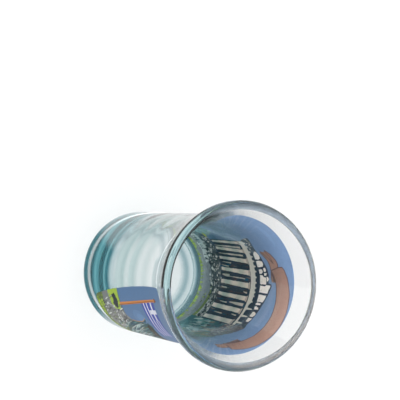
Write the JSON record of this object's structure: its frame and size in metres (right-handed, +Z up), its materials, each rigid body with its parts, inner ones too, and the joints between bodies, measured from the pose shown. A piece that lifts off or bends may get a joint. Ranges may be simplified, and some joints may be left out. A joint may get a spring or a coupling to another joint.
{
  "type": "shot glass",
  "caption": "Clear shot glass with a thick solid base, a flared rim with a rounded lip and a wrap-around fired enamel picture of a ruined temple, a flag and a ribbon.",
  "frame": {"origin": "centre of the circle that the glass stands on", "axes": "+Z up the glass's axis, from the base to the mouth; the gap in the picture faces -X"},
  "size_m": [0.046, 0.046, 0.0745],
  "materials": {
    "clear_glass": "fire-polished, clear with a faint aqua tint",
    "sky_enamel": "fired enamel ink, semi-gloss",
    "hill_enamel": "fired enamel ink, semi-gloss",
    "meadow_enamel": "fired enamel ink, semi-gloss",
    "path_enamel": "fired enamel ink, semi-gloss",
    "rock_enamel": "fired enamel ink, semi-gloss",
    "temple_stone_enamel": "fired enamel ink, semi-gloss",
    "shadow_enamel": "fired enamel ink, semi-gloss",
    "ribbon_enamel": "fired enamel ink, semi-gloss",
    "flagpole_enamel": "fired enamel ink, semi-gloss",
    "flag_blue_enamel": "fired enamel ink, semi-gloss",
    "flag_white_enamel": "fired enamel ink, semi-gloss"
  },
  "bodies": {
    "root": {"glass_body": "clear_glass", "sky_print": "sky_enamel", "hill_print": "hill_enamel", "meadow_print": "meadow_enamel", "path_print": "path_enamel", "rock_print": "rock_enamel", "temple_stone_print": "temple_stone_enamel", "shadow_print": "shadow_enamel", "ribbon_print": "ribbon_enamel", "flagpole_print": "flagpole_enamel", "flag_blue_print": "flag_blue_enamel", "flag_white_print": "flag_white_enamel"}
  },
  "joints": []
}
